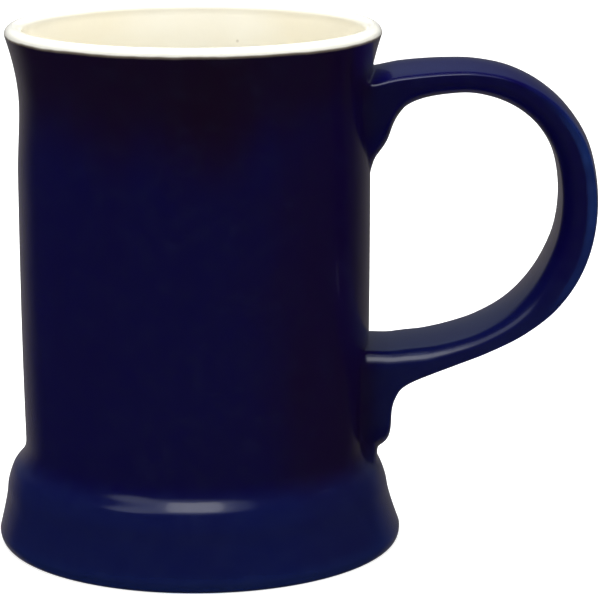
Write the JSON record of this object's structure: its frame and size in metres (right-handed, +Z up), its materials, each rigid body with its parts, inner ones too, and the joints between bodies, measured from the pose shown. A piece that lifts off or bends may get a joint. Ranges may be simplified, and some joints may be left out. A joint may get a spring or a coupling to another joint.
{
  "type": "beer mug",
  "caption": "Tall straight-walled glazed stoneware beer mug with a flared lip, a stepped flared foot and a broad strap handle with tails luted down the wall.",
  "frame": {"origin": "bottom centre of the mug's outer box, on the plane it stands on; the turned body's own axis is upright at x = -0.02657", "axes": "+Z up along the turned body, +X towards the handle, the XZ plane is the mug's plane of symmetry"},
  "size_m": [0.1624, 0.1092, 0.14],
  "materials": {
    "cobalt_glaze": "gloss"
  },
  "bodies": {
    "root": {"mug": "cobalt_glaze"}
  },
  "joints": []
}
